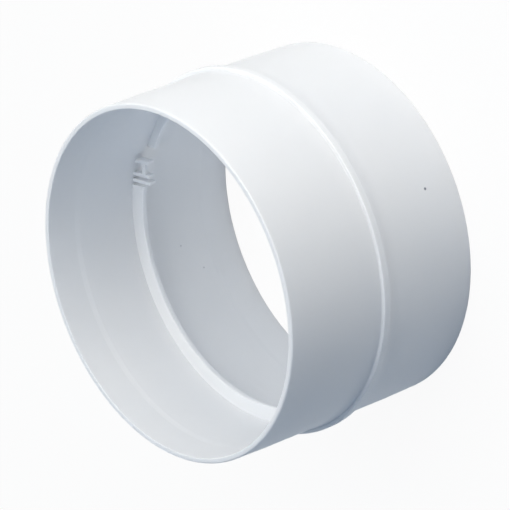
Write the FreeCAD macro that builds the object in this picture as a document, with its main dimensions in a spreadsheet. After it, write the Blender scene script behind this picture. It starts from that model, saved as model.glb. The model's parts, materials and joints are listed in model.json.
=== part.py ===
"""Round duct connector, moulded in one piece.

A short tube with a spigot at each end and a stop bead round its middle. Inside are two seat ledges for
an optional backdraught flap that hangs from a hinge line above its middle. The lower ledge runs round
in front of the flap, and the upper ledge round behind it. Between their ends, on both sides, is a hinge
socket: a small loop of two ears and a bar, and a keeper plate below it.

Millimetres. The tube stands on its rear rim: Z is its axis, the origin is the centre of that rim, and
the front mouth is at the top. The hinge line runs along X, on the +Y side of the axis, which is the upper
side of the flap when the duct lies level.
"""
import FreeCAD, Part
import math
import os

import Sketcher

NODE = "connector_body"

# Driving dimensions: name, size, what it is
DRIVING = (
    ("spigot_diameter", 100.0, "outside of both spigots, from lead-in to bead"),
    ("overall_length", 65.0, "rim to rim"),
    ("wall", 1.9, "tube wall between the lead-ins"),
    ("lead_in_length", 11.0, "thinned stretch at each end"),
    ("lead_in_drop", 0.2, "how far the outside closes in at the rim, on the radius"),
    ("mouth_flare", 0.1, "how far the inside opens out at the rim, on the radius"),
    ("rim_bevel", 0.5, "bevel on the outer edge of both rims"),
    ("bead_height", 1.5, "stop bead above the spigots"),
    ("bead_width", 2.2, "stop bead between its two shoulders"),
    ("bead_foot_round", 0.8, "radius at the bead's feet"),
    ("bead_bevel", 0.3, "bevel on the edges of the bead's crest"),
    ("lower_ledge_width", 4.4, "lower seat ledge from the wall inwards"),
    ("upper_ledge_width", 2.6, "upper seat ledge from the wall inwards"),
    ("ledge_thickness", 1.6, "seat ledges along the axis"),
    ("ledge_lead", 2.5, "front face of the lower ledge ahead of mid-length"),
    ("ledge_bevel", 0.3, "bevel on the ledges' inner edges"),
    ("flap_gap", 1.9, "room for the flap between the two ledges, along the axis"),
    ("hinge_offset", 16.25, "hinge line from the tube's axis"),
    ("loop_opening", 3.0, "clear width between the two ears of a hinge loop"),
    ("ear_thickness", 1.0, "ears and keeper plate"),
    ("ear_depth", 2.3, "ears and keeper plate along the axis"),
    ("ear_length", 5.9, "ears and keeper plate from the wall inwards, at the hinge line"),
    ("bar_width", 1.5, "bar of the loop, along the hinge line"),
    ("bar_setback", 1.5, "bar of the loop from the ears' tips"),
    ("slit", 0.9, "slits on each side of the keeper plate"),
    ("entry_gap", 2.9, "open gap between loop and upper ledge"),
)

# Sizes that follow from them: name, formula, what it is
DERIVED = (
    ("spigot_radius", "spigot_diameter / 2", "outside of the spigots"),
    ("bore_radius", "spigot_radius - wall", "inside of the tube"),
    ("rim_outer_radius", "spigot_radius - lead_in_drop", "outside of a rim"),
    ("rim_inner_radius", "bore_radius + mouth_flare", "inside of a rim"),
    ("root_radius", "spigot_radius - wall / 2", "how far ledge and ears are rooted in the wall"),
    ("front_lead_in", "overall_length - lead_in_length", "height where the front lead-in starts"),
    ("mid_height", "overall_length / 2", "middle of the tube"),
    ("bead_radius", "spigot_radius + bead_height", "crest of the bead"),
    ("bead_back", "mid_height - bead_width / 2", "rear shoulder of the bead"),
    ("bead_front", "mid_height + bead_width / 2", "front shoulder of the bead"),
    ("lower_ledge_radius", "bore_radius - lower_ledge_width", "inside of the lower ledge"),
    ("upper_ledge_radius", "bore_radius - upper_ledge_width", "inside of the upper ledge"),
    ("lower_front", "mid_height + ledge_lead", "front face of lower ledge, ears and bar"),
    ("lower_back", "lower_front - ledge_thickness", "rear face of lower ledge and bar"),
    ("upper_front", "lower_back - flap_gap", "front face of the upper ledge"),
    ("upper_back", "upper_front - ledge_thickness", "rear face of the upper ledge"),
    ("ear_back", "lower_front - ear_depth", "rear edge of ears and keeper plate"),
    ("upper_ear_low", "hinge_offset + loop_opening / 2", "underside of the upper ear"),
    ("upper_ear_high", "upper_ear_low + ear_thickness", "top of the upper ear"),
    ("lower_ear_high", "hinge_offset - loop_opening / 2", "top of the lower ear"),
    ("lower_ear_low", "lower_ear_high - ear_thickness", "underside of the lower ear"),
    ("keeper_high", "lower_ear_low - slit", "top of the keeper plate"),
    ("keeper_low", "keeper_high - ear_thickness", "underside of the keeper plate"),
    ("lower_ledge_end", "keeper_low - slit", "flat ends of the lower ledge"),
    ("upper_ledge_end", "upper_ear_high + entry_gap", "flat ends of the upper ledge"),
    ("hinge_reach", "sqrt(bore_radius ^ 2 - hinge_offset ^ 2)", "where the hinge line meets the wall"),
    ("ear_tip", "hinge_reach - ear_length", "inner ends of ears and keeper plate"),
    ("bar_near", "ear_tip + bar_setback", "inner face of the bar"),
    ("bar_far", "bar_near + bar_width", "wall side of the bar"),
    ("upper_ear_root", "sqrt(root_radius ^ 2 - upper_ear_high ^ 2)", "upper ear's end in the wall"),
    ("lower_ear_root", "sqrt(root_radius ^ 2 - lower_ear_high ^ 2)", "lower ear's end in the wall"),
    ("keeper_root", "sqrt(root_radius ^ 2 - keeper_high ^ 2)", "keeper plate's end in the wall"),
)


def make_sheet(doc):
    """Return the spreadsheet of driving and derived sizes."""
    sheet = doc.addObject("Spreadsheet::Sheet", "dims")
    rows = [(name, f"{size}", meaning) for name, size, meaning in DRIVING]
    rows += [(name, f"={formula}", meaning) for name, formula, meaning in DERIVED]
    for row, (name, text, meaning) in enumerate(rows, start=1):
        sheet.set(f"A{row}", meaning)
        sheet.set(f"B{row}", text)
        sheet.setAlias(f"B{row}", name)
    doc.recompute()
    return sheet


def origin_part(body, role):
    """Return the body's own origin plane or axis with this role."""
    return next(item for item in body.Origin.OriginFeatures if item.Role == role)


def new_sketch(body, name, plane_role, height=None):
    """Return an empty sketch on an origin plane, raised to a sheet height where one is named."""
    sketch = body.newObject("Sketcher::SketchObject", name)
    sketch.AttachmentSupport = [(origin_part(body, plane_role), "")]
    sketch.MapMode = "FlatFace"
    if height is not None:
        sketch.setExpression("AttachmentOffset.Base.z", f"dims.{height}")
    return sketch


def bind(sketch, constraint, name, formula):
    """Add a constraint under a name and tie its value to the sheet."""
    index = sketch.addConstraint(constraint)
    sketch.renameConstraint(index, name)
    sketch.setExpression(f"Constraints.{name}", formula)


def sheet_value(sheet, term):
    """Return the number behind a sheet name, which may have a minus sign in front; None is zero."""
    if term is None:
        return 0.0
    sign = -1.0 if term.startswith("-") else 1.0
    return sign * float(getattr(sheet, term.lstrip("-")))


def place_corner(sketch, line, label, across, up):
    """Fix the start of a line at two sheet sizes from the sketch's origin; None puts it on that axis."""
    for kind, term, axis_line in (("DistanceX", across, -2), ("DistanceY", up, -1)):
        if term is None:
            sketch.addConstraint(Sketcher.Constraint("PointOnObject", line, 1, axis_line))
            continue
        size = abs(sheet_value(sketch.Document.dims, term))
        ends = (line, 1, -1, 1) if term.startswith("-") else (-1, 1, line, 1)
        bind(sketch, Sketcher.Constraint(kind, *ends, size), f"{label}_{kind}", "dims." + term.lstrip("-"))


def draw_outline(sketch, label, corners):
    """Draw a closed straight-sided outline through corners given as pairs of sheet names."""
    sheet = sketch.Document.dims
    points = [FreeCAD.Vector(sheet_value(sheet, across), sheet_value(sheet, up), 0) for across, up in corners]
    lines = [
        sketch.addGeometry(Part.LineSegment(start, points[(index + 1) % len(points)]), False)
        for index, start in enumerate(points)
    ]
    for index, line in enumerate(lines):
        following = lines[(index + 1) % len(lines)]
        sketch.addConstraint(Sketcher.Constraint("Coincident", line, 2, following, 1))
    for index, (across, up) in enumerate(corners):
        place_corner(sketch, lines[index], f"{label}{index + 1}", across, up)


def rectangle(left, right, low, high):
    """Return the four corners of an upright rectangle between sheet sizes."""
    return ((left, low), (right, low), (right, high), (left, high))


def revolve(body, sketch, name):
    """Turn a section sketch once round the tube's axis."""
    feature = body.newObject("PartDesign::Revolution", name)
    feature.Profile = sketch
    feature.ReferenceAxis = (sketch, ["V_Axis"])
    feature.Angle = 360.0
    return feature


def pad(body, sketch, name, thickness):
    """Raise an outline towards the front mouth by a sheet size."""
    feature = body.newObject("PartDesign::Pad", name)
    feature.Profile = sketch
    feature.setExpression("Length", f"dims.{thickness}")
    return feature


def make_wall(body):
    """Tube wall: straight spigots, each thinned on both sides towards its rim."""
    sketch = new_sketch(body, "wall_section", "XZ_Plane")
    corners = (
        ("rim_outer_radius", None),
        ("spigot_radius", "lead_in_length"),
        ("spigot_radius", "front_lead_in"),
        ("rim_outer_radius", "overall_length"),
        ("rim_inner_radius", "overall_length"),
        ("bore_radius", "front_lead_in"),
        ("bore_radius", "lead_in_length"),
        ("rim_inner_radius", None),
    )
    draw_outline(sketch, "wall", corners)
    return revolve(body, sketch, "tube_wall")


def make_bead(body):
    """Stop bead round mid-length, which a pushed-on duct comes up against from either side."""
    sketch = new_sketch(body, "bead_section", "XZ_Plane")
    draw_outline(sketch, "bead", rectangle("root_radius", "bead_radius", "bead_back", "bead_front"))
    return revolve(body, sketch, "stop_bead")


def draw_ledge_sector(sketch, inner_radius, end, below):
    """Draw a ledge between two flat ends level with each other, passing below or above the axis."""
    sheet = sketch.Document.dims
    centre = FreeCAD.Vector(0, 0, 0)
    axis = FreeCAD.Vector(0, 0, 1)
    arcs = []
    for name in ("root_radius", inner_radius):
        radius = sheet_value(sheet, name)
        rise = math.asin(sheet_value(sheet, end) / radius)
        sweep = (math.pi - rise, 2 * math.pi + rise) if below else (rise, math.pi - rise)
        arcs.append(sketch.addGeometry(Part.ArcOfCircle(Part.Circle(centre, axis, radius), *sweep), False))
        sketch.addConstraint(Sketcher.Constraint("Coincident", arcs[-1], 3, -1, 1))
        bind(sketch, Sketcher.Constraint("Radius", arcs[-1], radius), name, f"dims.{name}")
    outer, inner = arcs
    for arc_end, side in ((1, "first"), (2, "second")):
        ends = [sketch.getPoint(arc, arc_end) for arc in (inner, outer)]
        line = sketch.addGeometry(Part.LineSegment(*ends), False)
        sketch.addConstraint(Sketcher.Constraint("Coincident", line, 1, inner, arc_end))
        sketch.addConstraint(Sketcher.Constraint("Coincident", line, 2, outer, arc_end))
        sketch.addConstraint(Sketcher.Constraint("Horizontal", line))
        distance = Sketcher.Constraint("DistanceY", -1, 1, line, 1, sheet_value(sheet, end))
        bind(sketch, distance, f"{side}_end", f"dims.{end}")


def make_ledges(body):
    """Lower seat ledge in front of the flap, and upper seat ledge behind it."""
    for level, below in (("lower", True), ("upper", False)):
        sketch = new_sketch(body, f"{level}_ledge_outline", "XY_Plane", f"{level}_back")
        draw_ledge_sector(sketch, f"{level}_ledge_radius", f"{level}_ledge_end", below)
        pad(body, sketch, f"{level}_ledge", "ledge_thickness")


def make_ears(body):
    """Two ears of one hinge loop, and the keeper plate below them, standing in from the wall."""
    sketch = new_sketch(body, "ear_outlines", "XY_Plane", "ear_back")
    for plate in ("upper_ear", "lower_ear", "keeper"):
        draw_outline(sketch, plate, rectangle("ear_tip", f"{plate}_root", f"{plate}_low", f"{plate}_high"))
    return pad(body, sketch, "hinge_ears", "ear_depth")


def make_bar(body):
    """Bar that joins the two ears of one hinge loop at their front."""
    sketch = new_sketch(body, "bar_outline", "XY_Plane", "lower_back")
    draw_outline(sketch, "bar", rectangle("bar_near", "bar_far", "lower_ear_high", "upper_ear_low"))
    return pad(body, sketch, "hinge_bar", "ledge_thickness")


def mirror_socket(body, features):
    """Repeat the hinge socket at the other end of the hinge line."""
    mirrored = body.newObject("PartDesign::Mirrored", "both_sockets")
    mirrored.Originals = features
    mirrored.MirrorPlane = (origin_part(body, "YZ_Plane"), [""])
    body.Tip = mirrored
    return mirrored


def ring_edges(shape, radius, height):
    """Return the names of the circular edges with this radius at this height."""
    near = 1e-4
    names = []
    for index, edge in enumerate(shape.Edges, start=1):
        if not isinstance(edge.Curve, Part.Circle):
            continue
        if abs(edge.Curve.Radius - radius) < near and abs(edge.Curve.Center.z - height) < near:
            names.append(f"Edge{index}")
    return names


def dress_rings(body, kind, name, rings, size):
    """Round or bevel the circular edges given as pairs of sheet names, radius and height."""
    base = body.Tip
    sheet = body.Document.dims
    edges = []
    for ring_radius, height in rings:
        found = ring_edges(base.Shape, sheet_value(sheet, ring_radius), sheet_value(sheet, height))
        if not found:
            raise RuntimeError(f"{name}: no edge at {ring_radius}, {height}")
        edges += found
    dressing = body.newObject(f"PartDesign::{kind}", name)
    dressing.Base = (base, edges)
    dressing.setExpression("Radius" if kind == "Fillet" else "Size", f"dims.{size}")
    body.Tip = dressing
    body.Document.recompute()


def make_connector(doc):
    """Build the whole connector as one body."""
    body = doc.addObject("PartDesign::Body", NODE)
    body.Label = NODE
    make_wall(body)
    make_bead(body)
    make_ledges(body)
    socket = [make_ears(body), make_bar(body)]
    doc.recompute()
    mirror_socket(body, socket)
    doc.recompute()
    rim_edges = [("rim_outer_radius", None), ("rim_outer_radius", "overall_length")]
    dress_rings(body, "Chamfer", "rim_edges", rim_edges, "rim_bevel")
    bead_feet = [("spigot_radius", "bead_back"), ("spigot_radius", "bead_front")]
    dress_rings(body, "Fillet", "bead_feet", bead_feet, "bead_foot_round")
    bead_edges = [("bead_radius", "bead_back"), ("bead_radius", "bead_front")]
    dress_rings(body, "Chamfer", "bead_edges", bead_edges, "bead_bevel")
    ledge_edges = [
        (f"{level}_ledge_radius", f"{level}_{face}")
        for level in ("lower", "upper")
        for face in ("back", "front")
    ]
    dress_rings(body, "Chamfer", "ledge_edges", ledge_edges, "ledge_bevel")
    return body


def check_document(doc, body):
    """Stop if any object failed or the body is not one sound solid."""
    for item in doc.Objects:
        if "Invalid" in item.State or "Error" in item.State:
            raise RuntimeError(f"{item.Label} did not build: {item.State}")
    shape = body.Shape
    if shape.isNull() or not shape.isValid() or len(shape.Solids) != 1:
        raise RuntimeError(f"{body.Label} is not one valid solid")


def main():
    """Build the connector and write it to its STEP file."""
    doc = FreeCAD.newDocument("duct_connector")
    make_sheet(doc)
    body = make_connector(doc)
    check_document(doc, body)
    os.makedirs("parts", exist_ok=True)
    body.Shape.exportStep(f"parts/{body.Label}.step")
    box = body.Shape.optimalBoundingBox()
    print(f"{body.Label}: {box.XLength:.2f} x {box.YLength:.2f} x {box.ZLength:.2f} mm")
    print(f"volume {body.Shape.Volume / 1000:.2f} cm3, {len(body.Shape.Faces)} faces")


main()
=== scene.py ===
"""Looks of a round duct connector: one white plastic moulding in a plain pale studio.

The connector stands on its rear rim with its front mouth up. Its sizes below are millimetres in the part's
own frame: Z is the tube's axis, heights are above the rear rim, and bearings turn about Z from +X. The hinge
line of the flap that can be fitted runs along X, on the +Y side of the axis.
"""
import json
import logging
import math
from collections.abc import Callable, Mapping, Sequence
from dataclasses import dataclass, field, replace
from enum import Enum
from typing import Any

import bmesh
import bpy
from mathutils import Color, Matrix, Vector

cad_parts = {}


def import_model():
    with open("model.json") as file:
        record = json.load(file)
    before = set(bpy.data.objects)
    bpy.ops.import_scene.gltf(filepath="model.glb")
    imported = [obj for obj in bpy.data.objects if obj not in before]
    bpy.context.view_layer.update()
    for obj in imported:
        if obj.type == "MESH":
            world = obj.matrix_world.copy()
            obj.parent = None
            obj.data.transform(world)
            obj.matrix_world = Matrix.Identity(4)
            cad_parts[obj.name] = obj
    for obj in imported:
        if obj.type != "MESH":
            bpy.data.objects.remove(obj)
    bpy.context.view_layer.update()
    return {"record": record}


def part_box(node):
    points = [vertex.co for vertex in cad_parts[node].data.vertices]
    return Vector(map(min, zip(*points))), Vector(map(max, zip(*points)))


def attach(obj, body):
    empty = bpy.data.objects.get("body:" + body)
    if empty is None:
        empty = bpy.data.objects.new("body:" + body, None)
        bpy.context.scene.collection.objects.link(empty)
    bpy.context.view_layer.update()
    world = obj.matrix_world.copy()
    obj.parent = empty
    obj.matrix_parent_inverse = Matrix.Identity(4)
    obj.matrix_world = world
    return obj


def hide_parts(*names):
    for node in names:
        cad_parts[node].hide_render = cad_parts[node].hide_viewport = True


LOG = logging.getLogger("duct_connector")

NODE = "connector_body"
BODY = "root"
PIECE = "moulded_connector"

MAIN_LIGHT = "#fffefb"
PALE_LIGHT = "#dff0ff"
COOL_LIGHT = "#a3d1ff"

# The colour sockets of a mix node share their names with its other sockets, so they go by number
MIX_FIRST, MIX_SECOND, MIX_RESULT = 6, 7, 2
# Profile that makes a bevel round
ROUND_PROFILE = 0.5
FEWEST_ARC_STEPS = 2

MM = 0.001
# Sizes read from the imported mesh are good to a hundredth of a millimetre
SIZE_DECIMALS = 2
FULL_TURN = 2.0 * math.pi

Point = tuple[float, float]


class WallSide(Enum):
    """Side of the tube wall that a mark is on."""

    OUTSIDE = "outside"
    INSIDE = "inside"


class AxisSide(Enum):
    """Side of the tube's axis that a ledge passes on."""

    ABOVE = "above"
    BELOW = "below"


class LampShape(Enum):
    """Outline of a lamp's face, by Blender's name for it."""

    SQUARE = "SQUARE"
    DISC = "DISK"


@dataclass(frozen=True)
class Corner:
    """One corner of a section: its radius from the tube's axis, its height, and how far it is rounded."""

    radius: float
    height: float
    rounding: float = 0.0

    @property
    def point(self) -> Vector:
        """Place of the corner in the plane of the section."""
        return Vector((self.radius, self.height))


def linear_colour(hex_code: str) -> tuple[float, float, float, float]:
    """Turn an sRGB hex colour into the linear colour that the shaders take.

    Args:
        hex_code: Six hex digits after a hash sign.

    Returns:
        Linear red, green and blue, and an alpha of 1.
    """
    shares = [int(hex_code[start:start + 2], 16) / 255.0 for start in (1, 3, 5)]
    red, green, blue = Color(shares).from_srgb_to_scene_linear()
    return red, green, blue, 1.0


def add_node(
    tree: bpy.types.NodeTree,
    kind: str,
    settings: Mapping[str, Any] | None = None,
    inputs: Mapping[str | int, Any] | None = None,
) -> bpy.types.Node:
    """Add a shader node with its settings, and set or link its inputs.

    Args:
        tree: Node tree that the node joins.
        kind: Blender's name for the kind of node.
        settings: Properties of the node.
        inputs: Sockets by name or number, each given a plain value or the output socket that feeds it.

    Returns:
        The new node.
    """
    node = tree.nodes.new(kind)
    for name, value in (settings or {}).items():
        setattr(node, name, value)
    for name, value in (inputs or {}).items():
        if isinstance(value, bpy.types.NodeSocket):
            tree.links.new(value, node.inputs[name])
        else:
            node.inputs[name].default_value = value
    return node


def direction(bearing_deg: float, elevation_deg: float) -> Vector:
    """Turn a bearing and an elevation into a direction.

    Args:
        bearing_deg: Bearing about Z from +X.
        elevation_deg: Elevation above the floor.

    Returns:
        The unit vector that way.
    """
    bearing, elevation = math.radians(bearing_deg), math.radians(elevation_deg)
    level = math.cos(elevation)
    return Vector((level * math.cos(bearing), level * math.sin(bearing), math.sin(elevation)))


def corner_arc(before: Corner, corner: Corner, after: Corner, arc_step_deg: float) -> list[Vector]:
    """Round one corner of a section.

    Args:
        before: Corner that comes before it.
        corner: Corner to round.
        after: Corner that comes after it.
        arc_step_deg: Largest turn between two points of the arc.

    Returns:
        Points of the arc in order, or the corner's own point where it is sharp.
    """
    tip = corner.point
    if corner.rounding == 0.0:
        return [tip]
    back = (before.point - tip).normalized()
    ahead = (after.point - tip).normalized()
    half = back.angle(ahead) / 2.0
    turn = math.pi - 2.0 * half
    centre = tip + (back + ahead).normalized() * corner.rounding / math.sin(half)
    start = tip + back * corner.rounding / math.tan(half) - centre
    sense = 1.0 if back.cross(ahead) < 0.0 else -1.0
    steps = max(FEWEST_ARC_STEPS, math.ceil(math.degrees(turn) / arc_step_deg))
    turns = (sense * turn * step / steps for step in range(steps + 1))
    return [centre + Matrix.Rotation(angle, 2) @ start for angle in turns]


def rounded_section(corners: Sequence[Corner], arc_step_deg: float, longest_run: float) -> list[Point]:
    """Draw a closed section through corners, with arcs at the rounded ones and straight runs cut evenly.

    Args:
        corners: Corners in order round the section.
        arc_step_deg: Largest turn between two points of an arc.
        longest_run: Longest straight stretch between two points.

    Returns:
        Points as pairs of radius and height.
    """
    neighbours = zip((corners[-1], *corners[:-1]), corners, (*corners[1:], corners[0]))
    arcs = [corner_arc(*three, arc_step_deg) for three in neighbours]
    points: list[Point] = []
    for arc, following in zip(arcs, (*arcs[1:], arcs[0])):
        points += [tuple(point) for point in arc]
        run = following[0] - arc[-1]
        cuts = math.ceil(run.length / longest_run)
        points += [tuple(arc[-1] + run * cut / cuts) for cut in range(1, cuts)]
    return points


def sweep_section(
    mesh: bmesh.types.BMesh,
    section: Sequence[Point],
    bearing: Callable[[float, float], float],
    steps: int,
    closed: bool,
) -> None:
    """Carry a section round the tube's axis.

    Args:
        mesh: Mesh that takes the faces.
        section: Points as pairs of radius and height.
        bearing: Gives the bearing, in radians, of a point at a radius once a share of the way is done.
        steps: Number of equal steps.
        closed: True for a whole ring, False for a stretch with flat ends.
    """
    stations = []
    for step in range(steps if closed else steps + 1):
        ring = []
        for radius, height in section:
            angle = bearing(radius, step / steps)
            ring.append(mesh.verts.new((radius * math.cos(angle), radius * math.sin(angle), height)))
        stations.append(ring)
    size = len(section)
    for step in range(steps):
        here, there = stations[step], stations[(step + 1) % len(stations)]
        for index in range(size):
            following = (index + 1) % size
            mesh.faces.new((here[index], there[index], there[following], here[following]))
    if not closed:
        mesh.faces.new(stations[0])
        mesh.faces.new(stations[-1][::-1])


def rounded_block(mesh: bmesh.types.BMesh, low: Vector, high: Vector, rounding: float, segments: int) -> None:
    """Add a block with rounded edges.

    Args:
        mesh: Mesh that takes the faces.
        low: Its lowest corner.
        high: Its highest corner.
        rounding: How far its edges are rounded.
        segments: Number of flat strips in each rounded edge.
    """
    place = Matrix.Translation((low + high) / 2.0) @ Matrix.Diagonal((*(high - low), 1.0))
    made = bmesh.ops.create_cube(mesh, size=1.0, matrix=place)
    edges = list(dict.fromkeys(edge for vertex in made["verts"] for edge in vertex.link_edges))
    bmesh.ops.bevel(
        mesh, geom=edges, offset=rounding, segments=segments, profile=ROUND_PROFILE, affect="EDGES"
    )


@dataclass(frozen=True)
class TubeWall:
    """Tube with a stop bead round the middle and a spigot at each end.

    Towards its rim a spigot closes in a little on the outside, and opens by one low soft step on the inside.
    A shallow shoulder leads up to the bead from both sides.
    """

    spigot_radius: float
    bead_radius: float
    length: float
    wall: float = 1.9
    lead_in_length: float = 11.0
    lead_in_drop: float = 0.2
    step_rise: float = 0.2
    step_run: float = 1.6
    step_round: float = 3.0
    rim_round: float = 0.5
    mouth_round: float = 0.2
    bead_width: float = 2.2
    shoulder_length: float = 2.2
    shoulder_rise: float = 0.4
    bead_foot_round: float = 0.4
    bead_edge_round: float = 0.3
    ring_steps: int = 288
    arc_step_deg: float = 15.0
    longest_run: float = 2.5

    @property
    def bore_radius(self) -> float:
        """Inside of the tube between its lead-ins."""
        return self.spigot_radius - self.wall

    @property
    def root_radius(self) -> float:
        """Middle of the wall, where what stands on it is rooted."""
        return self.spigot_radius - self.wall / 2.0

    @property
    def mid_height(self) -> float:
        """Middle of the tube."""
        return self.length / 2.0

    def with_mirror(self, corners: Sequence[Corner]) -> list[Corner]:
        """Add the other half of the tube to the corners of one half.

        Args:
            corners: Corners in order from one rim to the middle.

        Returns:
            Those corners, and their mirror images from the middle to the other rim.
        """
        images = [replace(corner, height=self.length - corner.height) for corner in reversed(corners)]
        return [*corners, *images]

    def outer_corners(self) -> list[Corner]:
        """List the corners of the outside.

        Returns:
            Corners from the rear rim up to the front rim.
        """
        bead_back = self.mid_height - self.bead_width / 2.0
        return self.with_mirror([
            Corner(self.spigot_radius - self.lead_in_drop, 0.0, self.rim_round),
            Corner(self.spigot_radius, self.lead_in_length),
            Corner(self.spigot_radius, bead_back - self.shoulder_length),
            Corner(self.spigot_radius + self.shoulder_rise, bead_back, self.bead_foot_round),
            Corner(self.bead_radius, bead_back, self.bead_edge_round),
        ])

    def inner_corners(self) -> list[Corner]:
        """List the corners of the inside.

        Returns:
            Corners from the front rim down to the rear rim.
        """
        mouth_radius = self.bore_radius + self.step_rise
        step_low = self.length - self.lead_in_length
        return self.with_mirror([
            Corner(mouth_radius, self.length, self.mouth_round),
            Corner(mouth_radius, step_low + self.step_run, self.step_round),
            Corner(self.bore_radius, step_low, self.step_round),
        ])

    def build(self, mesh: bmesh.types.BMesh) -> None:
        """Turn the section once round the axis.

        Args:
            mesh: Mesh that takes the faces.
        """
        corners = self.outer_corners() + self.inner_corners()
        section = rounded_section(corners, self.arc_step_deg, self.longest_run)
        sweep_section(mesh, section, lambda _, share: FULL_TURN * share, self.ring_steps, closed=True)


@dataclass(frozen=True)
class HingeSocket:
    """Socket for a flap's pin: a loop of two ears and a bar, and a keeper plate below it.

    The bar is sunk a hair behind the fronts of the ears, so that no two faces lie in one plane.
    """

    tube: TubeWall
    front: float
    bar_depth: float
    hinge_offset: float = 16.25
    loop_opening: float = 3.0
    plate_thickness: float = 1.0
    plate_depth: float = 2.3
    plate_length: float = 5.9
    bar_width: float = 1.5
    bar_setback: float = 1.5
    bar_sunk: float = 0.045
    slit: float = 0.9
    entry_gap: float = 2.9
    edge_round: float = 0.18
    edge_segments: int = 3

    @property
    def upper_ear_low(self) -> float:
        """Underside of the upper ear."""
        return self.hinge_offset + self.loop_opening / 2.0

    @property
    def lower_ear_low(self) -> float:
        """Underside of the lower ear."""
        return self.hinge_offset - self.loop_opening / 2.0 - self.plate_thickness

    @property
    def keeper_low(self) -> float:
        """Underside of the keeper plate."""
        return self.lower_ear_low - self.slit - self.plate_thickness

    @property
    def lower_ledge_end(self) -> float:
        """Where the lower ledge ends, below the keeper plate."""
        return self.keeper_low - self.slit

    @property
    def upper_ledge_end(self) -> float:
        """Where the upper ledge ends, above the loop."""
        return self.upper_ear_low + self.plate_thickness + self.entry_gap

    @property
    def plate_tip(self) -> float:
        """Inner ends of ears and keeper plate, measured along the hinge line."""
        return math.sqrt(self.tube.bore_radius**2 - self.hinge_offset**2) - self.plate_length

    def build(self, mesh: bmesh.types.BMesh) -> None:
        """Add the socket on the +X side, and its mirror image at the other end of the hinge line.

        Args:
            mesh: Empty mesh that takes the faces.
        """
        for low_side in (self.upper_ear_low, self.lower_ear_low, self.keeper_low):
            high_side = low_side + self.plate_thickness
            root = math.sqrt(self.tube.root_radius**2 - high_side**2)
            low = Vector((self.plate_tip, low_side, self.front - self.plate_depth))
            high = Vector((root, high_side, self.front))
            rounded_block(mesh, low, high, self.edge_round, self.edge_segments)
        near = self.plate_tip + self.bar_setback
        half = (self.loop_opening + self.plate_thickness) / 2.0
        low = Vector((near, self.hinge_offset - half, self.front - self.bar_depth))
        high = Vector((near + self.bar_width, self.hinge_offset + half, self.front - self.bar_sunk))
        rounded_block(mesh, low, high, self.edge_round, self.edge_segments)
        made = bmesh.ops.duplicate(mesh, geom=mesh.verts[:] + mesh.edges[:] + mesh.faces[:])
        copies = [item for item in made["geom"] if isinstance(item, bmesh.types.BMVert)]
        bmesh.ops.scale(mesh, vec=(-1.0, 1.0, 1.0), verts=copies)


@dataclass(frozen=True)
class SeatLedge:
    """Ledge that one part of a flap shuts against, with two flat ends level with each other."""

    tube: TubeWall
    side: AxisSide
    width: float
    thickness: float
    front: float
    end: float
    edge_round: float = 0.35
    arc_step_deg: float = 18.0
    longest_run: float = 1.5
    step_deg: float = 1.3

    def corners(self) -> list[Corner]:
        """List the corners of the ledge's section.

        Returns:
            Corners in order, the first and the last of them rooted in the middle of the tube wall.
        """
        root = self.tube.root_radius
        edge = self.tube.bore_radius - self.width
        back = self.front - self.thickness
        return [
            Corner(root, back),
            Corner(edge, back, self.edge_round),
            Corner(edge, self.front, self.edge_round),
            Corner(root, self.front),
        ]

    def ends(self, radius: float) -> tuple[float, float]:
        """Find where the ledge starts and ends.

        Args:
            radius: Radius to find it at, as the ends are flat and not radial.

        Returns:
            Bearings of the two ends, in radians.
        """
        rise = math.asin(self.end / radius)
        if self.side is AxisSide.BELOW:
            return math.pi - rise, FULL_TURN + rise
        return rise, math.pi - rise

    def bearing(self, radius: float, share: float) -> float:
        """Return the bearing, in radians, at a radius once a share of the way from end to end is done."""
        first, last = self.ends(radius)
        return first + (last - first) * share

    def build(self, mesh: bmesh.types.BMesh) -> None:
        """Carry the section from end to end.

        Args:
            mesh: Mesh that takes the faces.
        """
        section = rounded_section(self.corners(), self.arc_step_deg, self.longest_run)
        first, last = self.ends(self.tube.bore_radius)
        steps = math.ceil(math.degrees(last - first) / self.step_deg)
        sweep_section(mesh, section, self.bearing, steps, closed=False)


@dataclass(frozen=True)
class Fleck:
    """Small dark fleck in the plastic: where it is, how far across, and how strongly it shows.

    The last two fields say where it starts to fade and where it is gone: they are distances from its centre,
    as shares of its diameter.
    """

    side: WallSide
    bearing_deg: float
    height: float
    diameter: float
    strength: float
    fade_start: float = 0.2
    fade_end: float = 0.6

    def centre(self, tube: TubeWall) -> Vector:
        """Find the fleck's place on the tube wall.

        Args:
            tube: Tube wall that the fleck is in.

        Returns:
            Its centre, in metres.
        """
        radius = tube.spigot_radius if self.side is WallSide.OUTSIDE else tube.bore_radius
        level = direction(self.bearing_deg, 0.0) * radius
        return Vector((level.x, level.y, self.height)) * MM


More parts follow.
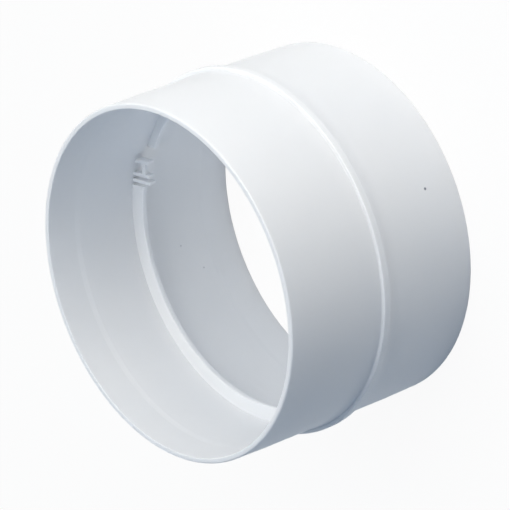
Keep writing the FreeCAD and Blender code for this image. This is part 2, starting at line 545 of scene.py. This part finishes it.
@dataclass(frozen=True)
class MouldedPlastic:
    """White rigid PVC, injection moulded against spark-eroded steel.

    The pigment gives a clean, slightly cool white. Light goes less than a millimetre into it, which is enough
    to make shade soft. The steel leaves a fine even grain, so highlights are broad and satin, and gloss at a
    flat view is weaker than on smooth PVC. The draw out of the mould leaves faint lines along the tube.
    """

    name: str = "moulded_white_pvc"
    white: str = "#eff0f2"
    cool_white: str = "#e9ebee"
    fleck_colour: str = "#5d6675"
    ior: float = 1.53
    gloss_level: float = 0.3
    depth_weight: float = 1.0
    depth: float = 0.7
    colour_depths: tuple[float, float, float] = (1.0, 1.0, 1.0)
    roughness: float = 0.52
    roughness_spread: float = 0.08
    tone_patch: float = 28.0
    tone_detail: float = 2.0
    grain: float = 0.7
    grain_detail: float = 2.0
    grain_depth: float = 0.004
    draw_line: float = 0.9
    draw_line_detail: float = 3.0
    draw_line_stretch: float = 60.0
    flecks: tuple[Fleck, ...] = (
        Fleck(WallSide.OUTSIDE, 23.8, 11.0, 0.9, 0.9),
        Fleck(WallSide.INSIDE, -166.2, 20.0, 0.6, 0.35),
        Fleck(WallSide.INSIDE, -156.7, 14.5, 0.6, 0.35),
    )

    def build(self, tube: TubeWall) -> bpy.types.Material:
        """Make the material.

        Args:
            tube: Tube wall that the flecks sit in.

        Returns:
            The finished material.
        """
        material = bpy.data.materials.new(self.name)
        material.use_nodes = True
        tree = material.node_tree
        tree.nodes.clear()
        place = add_node(tree, "ShaderNodeTexCoord").outputs["Object"]
        shader = add_node(tree, "ShaderNodeBsdfPrincipled", inputs={
            "Base Color": self.add_colour(tree, place, tube),
            "Roughness": self.add_roughness(tree, place),
            "Normal": self.add_grain(tree, place),
            "IOR": self.ior,
            "Specular IOR Level": self.gloss_level,
            "Subsurface Weight": self.depth_weight,
            "Subsurface Radius": self.colour_depths,
            "Subsurface Scale": self.depth * MM,
        })
        add_node(tree, "ShaderNodeOutputMaterial", inputs={"Surface": shader.outputs["BSDF"]})
        return material

    def add_colour(
        self, tree: bpy.types.NodeTree, place: bpy.types.NodeSocket, tube: TubeWall
    ) -> bpy.types.NodeSocket:
        """Add the white with its slow drift of tone, and the flecks in it.

        Args:
            tree: Node tree of the material.
            place: Place on the connector, in metres.
            tube: Tube wall that the flecks sit in.

        Returns:
            The colour.
        """
        drift = add_node(tree, "ShaderNodeTexNoise", inputs={
            "Vector": place,
            "Scale": 1.0 / (self.tone_patch * MM),
            "Detail": self.tone_detail,
        })
        colour = add_node(tree, "ShaderNodeMix", {"data_type": "RGBA"}, {
            "Factor": drift.outputs["Fac"],
            MIX_FIRST: linear_colour(self.white),
            MIX_SECOND: linear_colour(self.cool_white),
        }).outputs[MIX_RESULT]
        for fleck in self.flecks:
            distance = add_node(tree, "ShaderNodeVectorMath", {"operation": "DISTANCE"}, {
                0: place,
                1: fleck.centre(tube),
            })
            mask = add_node(tree, "ShaderNodeMapRange", {"interpolation_type": "SMOOTHSTEP"}, {
                "Value": distance.outputs["Value"],
                "From Min": fleck.fade_start * fleck.diameter * MM,
                "From Max": fleck.fade_end * fleck.diameter * MM,
                "To Min": fleck.strength,
                "To Max": 0.0,
            })
            colour = add_node(tree, "ShaderNodeMix", {"data_type": "RGBA"}, {
                "Factor": mask.outputs["Result"],
                MIX_FIRST: colour,
                MIX_SECOND: linear_colour(self.fleck_colour),
            }).outputs[MIX_RESULT]
        return colour

    def add_roughness(self, tree: bpy.types.NodeTree, place: bpy.types.NodeSocket) -> bpy.types.NodeSocket:
        """Add the faint lines that the draw leaves along the tube.

        Args:
            tree: Node tree of the material.
            place: Place on the connector, in metres.

        Returns:
            The roughness.
        """
        drawn = add_node(tree, "ShaderNodeMapping", inputs={
            "Vector": place,
            "Scale": (1.0, 1.0, 1.0 / self.draw_line_stretch),
        })
        lines = add_node(tree, "ShaderNodeTexNoise", inputs={
            "Vector": drawn.outputs["Vector"],
            "Scale": 1.0 / (self.draw_line * MM),
            "Detail": self.draw_line_detail,
        })
        return add_node(tree, "ShaderNodeMapRange", inputs={
            "Value": lines.outputs["Fac"],
            "To Min": self.roughness - self.roughness_spread / 2.0,
            "To Max": self.roughness + self.roughness_spread / 2.0,
        }).outputs["Result"]

    def add_grain(self, tree: bpy.types.NodeTree, place: bpy.types.NodeSocket) -> bpy.types.NodeSocket:
        """Add the mould's grain as bump.

        Args:
            tree: Node tree of the material.
            place: Place on the connector, in metres.

        Returns:
            The normal.
        """
        # The real grain is about 0.05 mm across; it is drawn coarser here so that it shows
        grain = add_node(tree, "ShaderNodeTexNoise", inputs={
            "Vector": place,
            "Scale": 1.0 / (self.grain * MM),
            "Detail": self.grain_detail,
        })
        return add_node(tree, "ShaderNodeBump", inputs={
            "Height": grain.outputs["Fac"],
            "Strength": 1.0,
            "Distance": self.grain_depth * MM,
        }).outputs["Normal"]


@dataclass(frozen=True)
class DuctConnector:
    """The whole moulding: tube wall, two seat ledges, and a hinge socket on both sides between their ends."""

    tube: TubeWall
    finish: MouldedPlastic = field(default_factory=MouldedPlastic)
    lower_ledge_width: float = 4.4
    upper_ledge_width: float = 2.6
    ledge_thickness: float = 1.6
    ledge_lead: float = 2.5
    flap_gap: float = 1.9
    sharp_edge_deg: float = 40.0

    def build(self) -> bpy.types.Object:
        """Fuse tube wall, ledges and sockets into one mesh.

        Returns:
            The connector, in metres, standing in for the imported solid.
        """
        lower_front = self.tube.mid_height + self.ledge_lead
        upper_front = lower_front - self.ledge_thickness - self.flap_gap
        socket = HingeSocket(self.tube, lower_front, self.ledge_thickness)
        ledges = (
            SeatLedge(self.tube, AxisSide.BELOW, self.lower_ledge_width, self.ledge_thickness,
                      lower_front, socket.lower_ledge_end),
            SeatLedge(self.tube, AxisSide.ABOVE, self.upper_ledge_width, self.ledge_thickness,
                      upper_front, socket.upper_ledge_end),
        )
        fittings = bmesh.new()
        socket.build(fittings)
        for ledge in ledges:
            ledge.build(fittings)
        wall = bmesh.new()
        self.tube.build(wall)
        mesh = self.fuse(self.as_object("wall", wall), self.as_object("fittings", fittings))
        mesh.transform(Matrix.Scale(MM, 4))
        mesh.set_sharp_from_angle(angle=math.radians(self.sharp_edge_deg))
        connector = bpy.data.objects.new(PIECE, mesh)
        bpy.context.scene.collection.objects.link(connector)
        evened = connector.modifiers.new("even_shading", "WEIGHTED_NORMAL")
        evened.keep_sharp = True
        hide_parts(NODE)
        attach(connector, BODY)
        return connector

    def dress(self, connector: bpy.types.Object) -> None:
        """Give the connector its finish."""
        connector.data.materials.clear()
        connector.data.materials.append(self.finish.build(self.tube))

    @staticmethod
    def as_object(name: str, made: bmesh.types.BMesh) -> bpy.types.Object:
        """Put a mesh, with its faces turned outwards, into an object of the scene.

        Args:
            name: Name for the object and its mesh.
            made: Mesh to take, which is freed.

        Returns:
            The object.
        """
        bmesh.ops.recalc_face_normals(made, faces=made.faces[:])
        mesh = bpy.data.meshes.new(name)
        made.to_mesh(mesh)
        made.free()
        mesh.shade_smooth()
        holder = bpy.data.objects.new(name, mesh)
        bpy.context.scene.collection.objects.link(holder)
        return holder

    @staticmethod
    def fuse(wall: bpy.types.Object, fittings: bpy.types.Object) -> bpy.types.Mesh:
        """Join the wall and its fittings into one skin, and remove the two objects.

        Args:
            wall: Tube wall.
            fittings: Ledges and sockets, rooted in the wall.

        Returns:
            The joined mesh.
        """
        union = wall.modifiers.new("fuse", "BOOLEAN")
        union.operation = "UNION"
        union.solver = "EXACT"
        union.use_self = True
        union.object = fittings
        graph = bpy.context.evaluated_depsgraph_get()
        mesh = bpy.data.meshes.new_from_object(wall.evaluated_get(graph))
        mesh.name = PIECE
        for holder in (wall, fittings):
            spent = holder.data
            bpy.data.objects.remove(holder)
            bpy.data.meshes.remove(spent)
        return mesh


@dataclass(frozen=True)
class StudioLamp:
    """Lamp with a lit face that the camera doesn't see: its bearing, elevation, power in watts and colour."""

    name: str
    bearing_deg: float
    elevation_deg: float
    power: float
    colour: str

    def hang(self, shape: LampShape, size: float, place: Vector, back: Vector) -> bpy.types.Object:
        """Make the lamp and hang it in its place.

        Args:
            shape: Outline of its face.
            size: Width of its face.
            place: Middle of its face, in metres.
            back: Unit vector out of its back.

        Returns:
            The lamp.
        """
        light = bpy.data.lights.new(self.name, "AREA")
        light.shape = shape.value
        light.size = size * MM
        light.energy = self.power
        light.color = linear_colour(self.colour)[:3]
        lamp = bpy.data.objects.new(self.name, light)
        lamp.location = place
        lamp.rotation_mode = "QUATERNION"
        lamp.rotation_quaternion = back.to_track_quat("Z", "Y")
        lamp.visible_camera = False
        bpy.context.scene.collection.objects.link(lamp)
        return lamp


@dataclass(frozen=True)
class Softbox(StudioLamp):
    """Square soft lamp that shines on the connector from its bearing and elevation."""

    distance: float = 800.0
    size: float = 600.0

    def build(self, aim: Vector) -> None:
        """Hang the lamp at its distance from the aim.

        Args:
            aim: Point that it shines on, in metres.
        """
        back = direction(self.bearing_deg, self.elevation_deg)
        self.hang(LampShape.SQUARE, self.size, aim + back * self.distance * MM, back)


@dataclass(frozen=True)
class BoreLamp(StudioLamp):
    """Weak disc of light in the bore, out of sight, that shines along its bearing and elevation.

    It stands for light that comes in through an open mouth.
    """

    centre: tuple[float, float, float]
    diameter: float

    def build(self) -> None:
        """Hang the lamp at its centre, hidden from reflections too."""
        back = -direction(self.bearing_deg, self.elevation_deg)
        lamp = self.hang(LampShape.DISC, self.diameter, Vector(self.centre) * MM, back)
        lamp.visible_glossy = lamp.visible_transmission = False


@dataclass(frozen=True)
class Studio:
    """White floor and surroundings, with soft lamps on the lit side, one behind and a cool one opposite.

    Two weak lamps in the bore make up for light that the floor shuts out.
    """

    softboxes: tuple[Softbox, ...] = (
        Softbox("key_softbox", 68.0, 15.0, 3.85, MAIN_LIGHT),
        Softbox("high_softbox", 68.0, 65.0, 3.25, MAIN_LIGHT),
        Softbox("side_softbox", 113.0, 40.0, 0.6, MAIN_LIGHT),
        Softbox("far_softbox", 158.0, 65.0, 0.95, PALE_LIGHT),
        Softbox("back_softbox", -157.0, 15.0, 1.5, MAIN_LIGHT),
        Softbox("cool_softbox", -67.0, 40.0, 1.1, COOL_LIGHT),
    )
    bore_lamps: tuple[BoreLamp, ...] = (
        BoreLamp("rear_mouth_lamp", 0.0, 90.0, 0.0020, PALE_LIGHT, (0.0, 0.0, 1.0), 90.0),
        BoreLamp("front_mouth_lamp", 126.0, 0.0, 0.0030, MAIN_LIGHT, (14.7, -20.2, 50.0), 44.0),
    )
    white: str = "#ffffff"
    floor_colour: str = "#f0f1f3"
    floor_size: float = 8000.0
    floor_glow_share: float = 0.93

    @staticmethod
    def add_seen_directly(tree: bpy.types.NodeTree) -> bpy.types.NodeSocket:
        """Add a factor that tells what is seen from what only lights the scene.

        Args:
            tree: Node tree that the factor joins.

        Returns:
            A factor of 1 for what the camera, a reflection or clear material sees, else 0.
        """
        path = add_node(tree, "ShaderNodeLightPath").outputs
        either = add_node(tree, "ShaderNodeMath", {"operation": "MAXIMUM"}, {
            0: path["Is Camera Ray"],
            1: path["Is Glossy Ray"],
        })
        return add_node(tree, "ShaderNodeMath", {"operation": "MAXIMUM"}, {
            0: either.outputs["Value"],
            1: path["Is Transmission Ray"],
        }).outputs["Value"]

    def build(self, aim: Vector) -> None:
        """Set up floor, surroundings and lamps.

        Args:
            aim: Point that the softboxes shine on, in metres.
        """
        self.build_floor()
        self.build_surroundings()
        for softbox in self.softboxes:
            softbox.build(aim)
        for bore_lamp in self.bore_lamps:
            bore_lamp.build()

    def build_floor(self) -> None:
        """Lay the floor: white to the eye, with a share of plain matt paint that takes the shadow."""
        half = self.floor_size * MM / 2.0
        corners = [(-half, -half, 0.0), (half, -half, 0.0), (half, half, 0.0), (-half, half, 0.0)]
        mesh = bpy.data.meshes.new("studio_floor")
        mesh.from_pydata(corners, [], [(0, 1, 2, 3)])
        material = bpy.data.materials.new("matt_white_floor_paint")
        material.use_nodes = True
        tree = material.node_tree
        tree.nodes.clear()
        share = add_node(tree, "ShaderNodeMath", {"operation": "MULTIPLY"}, {
            0: self.add_seen_directly(tree),
            1: self.floor_glow_share,
        })
        paint = add_node(tree, "ShaderNodeBsdfDiffuse", inputs={"Color": linear_colour(self.floor_colour)})
        glow = add_node(tree, "ShaderNodeEmission", inputs={"Color": linear_colour(self.white)})
        mixed = add_node(tree, "ShaderNodeMixShader", inputs={
            "Fac": share.outputs["Value"],
            1: paint.outputs["BSDF"],
            2: glow.outputs["Emission"],
        })
        add_node(tree, "ShaderNodeOutputMaterial", inputs={"Surface": mixed.outputs["Shader"]})
        mesh.materials.append(material)
        floor = bpy.data.objects.new("studio_floor", mesh)
        bpy.context.scene.collection.objects.link(floor)

    def build_surroundings(self) -> None:
        """Surround the scene with white that is seen, also in reflections, but adds no light of its own."""
        world = bpy.data.worlds.new("white_studio")
        world.use_nodes = True
        tree = world.node_tree
        tree.nodes.clear()
        backdrop = add_node(tree, "ShaderNodeBackground", inputs={
            "Color": linear_colour(self.white),
            "Strength": self.add_seen_directly(tree),
        })
        add_node(tree, "ShaderNodeOutputWorld", inputs={"Surface": backdrop.outputs["Background"]})
        bpy.context.scene.world = world


@dataclass(frozen=True)
class ViewCamera:
    """Long-lens camera that looks down into the front mouth, rolled so that the mouth points to the left."""

    bearing_deg: float = 24.26
    elevation_deg: float = 37.71
    roll_deg: float = -110.6
    distance: float = 1186.4
    aim: tuple[float, float, float] = (0.10, -1.02, 32.92)
    lens: float = 310.6
    sensor: float = 36.0

    def build(self) -> bpy.types.Object:
        """Set the camera up and make it the scene's own.

        Returns:
            The camera.
        """
        lens = bpy.data.cameras.new("view_camera")
        lens.lens = self.lens
        lens.sensor_width = self.sensor
        back = direction(self.bearing_deg, self.elevation_deg)
        camera = bpy.data.objects.new("view_camera", lens)
        level = back.to_track_quat("Z", "Y").to_matrix().to_4x4()
        roll = Matrix.Rotation(math.radians(self.roll_deg), 4, "Z")
        stand = (Vector(self.aim) + back * self.distance) * MM
        camera.matrix_world = Matrix.Translation(stand) @ level @ roll
        bpy.context.scene.collection.objects.link(camera)
        bpy.context.scene.camera = camera
        return camera


def tube_from_frame(frame: Mapping[str, Any]) -> TubeWall:
    """Take the tube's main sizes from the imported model.


    Returns:
        The tube wall, in millimetres.
    """
    _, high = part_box(NODE)
    mounts = {mount["name"]: mount for mount in frame["record"]["mounts"]}
    return TubeWall(
        spigot_radius=mounts["front_spigot"]["dims"]["r_mm"],
        bead_radius=round(high.x / MM, SIZE_DECIMALS),
        length=round(high.z / MM, SIZE_DECIMALS),
    )


def main() -> None:
    """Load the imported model, build and dress the connector, and set up studio and camera."""
    logging.basicConfig(level=logging.INFO, format="%(name)s: %(message)s")
    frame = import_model()
    bpy.context.scene.view_settings.view_transform = "Standard"
    tube = tube_from_frame(frame)
    connector = DuctConnector(tube)
    piece = connector.build()
    connector.dress(piece)
    LOG.info("%s: %d faces, %s", piece.name, len(piece.data.polygons), connector.finish.name)
    middle = Vector((0.0, 0.0, tube.mid_height)) * MM
    studio = Studio()
    studio.build(middle)
    LOG.info("studio: %s", ", ".join(lamp.name for lamp in (*studio.softboxes, *studio.bore_lamps)))
    camera = ViewCamera().build()
    LOG.info("%s: %.0f mm from the connector", camera.name, (camera.location - middle).length / MM)


if __name__ == "__main__":
    main()
